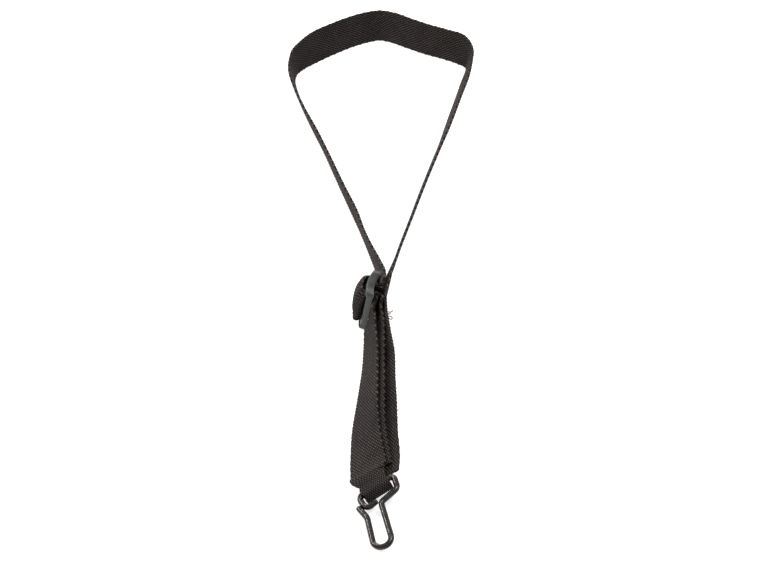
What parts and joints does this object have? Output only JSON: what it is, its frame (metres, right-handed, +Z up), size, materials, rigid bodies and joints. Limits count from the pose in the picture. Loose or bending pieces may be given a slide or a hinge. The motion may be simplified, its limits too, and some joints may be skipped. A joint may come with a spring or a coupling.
{
  "type": "saxophone neck strap",
  "caption": "Flat woven neck strap with a loop for the neck, a plastic slide adjuster and a coated wire hook on the folded lower end.",
  "frame": {"origin": "middle of the footprint on the surface that the strap lies on", "axes": "+Z up from that surface, +Y from the hook towards the neck loop, +X to the right when the hook is nearest"},
  "size_m": [0.133, 0.4698, 0.0382],
  "materials": {
    "webbing": "coarse woven black polyester webbing, dull",
    "adjuster_plastic": "moulded black plastic with worn edges",
    "hook_steel": "drawn steel wire",
    "hook_vinyl": "black dipped vinyl with a slightly lumpy gloss",
    "thread": "black sewing thread"
  },
  "bodies": {
    "webbing_loop": {"webbing_left_leg": "webbing", "webbing_neck_left": "webbing", "webbing_neck_right": "webbing", "webbing_right_leg": "webbing", "webbing_front_strand": "webbing", "webbing_hook_fold": "webbing", "webbing_back_strand": "webbing", "webbing_tail": "webbing"},
    "adjuster": {"slide_adjuster": "adjuster_plastic", "webbing_slider_wrap": "webbing", "webbing_anchor_loop": "webbing", "seam_threads": "thread"},
    "hook": {"hook_wire": "hook_steel", "hook_coating": "hook_vinyl"}
  },
  "joints": [
    {"name": "adjuster_travel", "type": "slide", "parent": "webbing_loop", "child": "adjuster", "axis": [0, -1, 0], "range_m": [-0.015, 0.03], "deforming": ["webbing_left_leg", "webbing_right_leg", "webbing_front_strand", "webbing_back_strand", "webbing_tail"]},
    {"name": "hook_swing", "type": "hinge", "parent": "webbing_loop", "child": "hook", "pos_m": [-0.003, -0.1892, 0.0086], "axis": [0.8487, 0.4513, 0.2756], "range_deg": [-110, 110]}
  ]
}
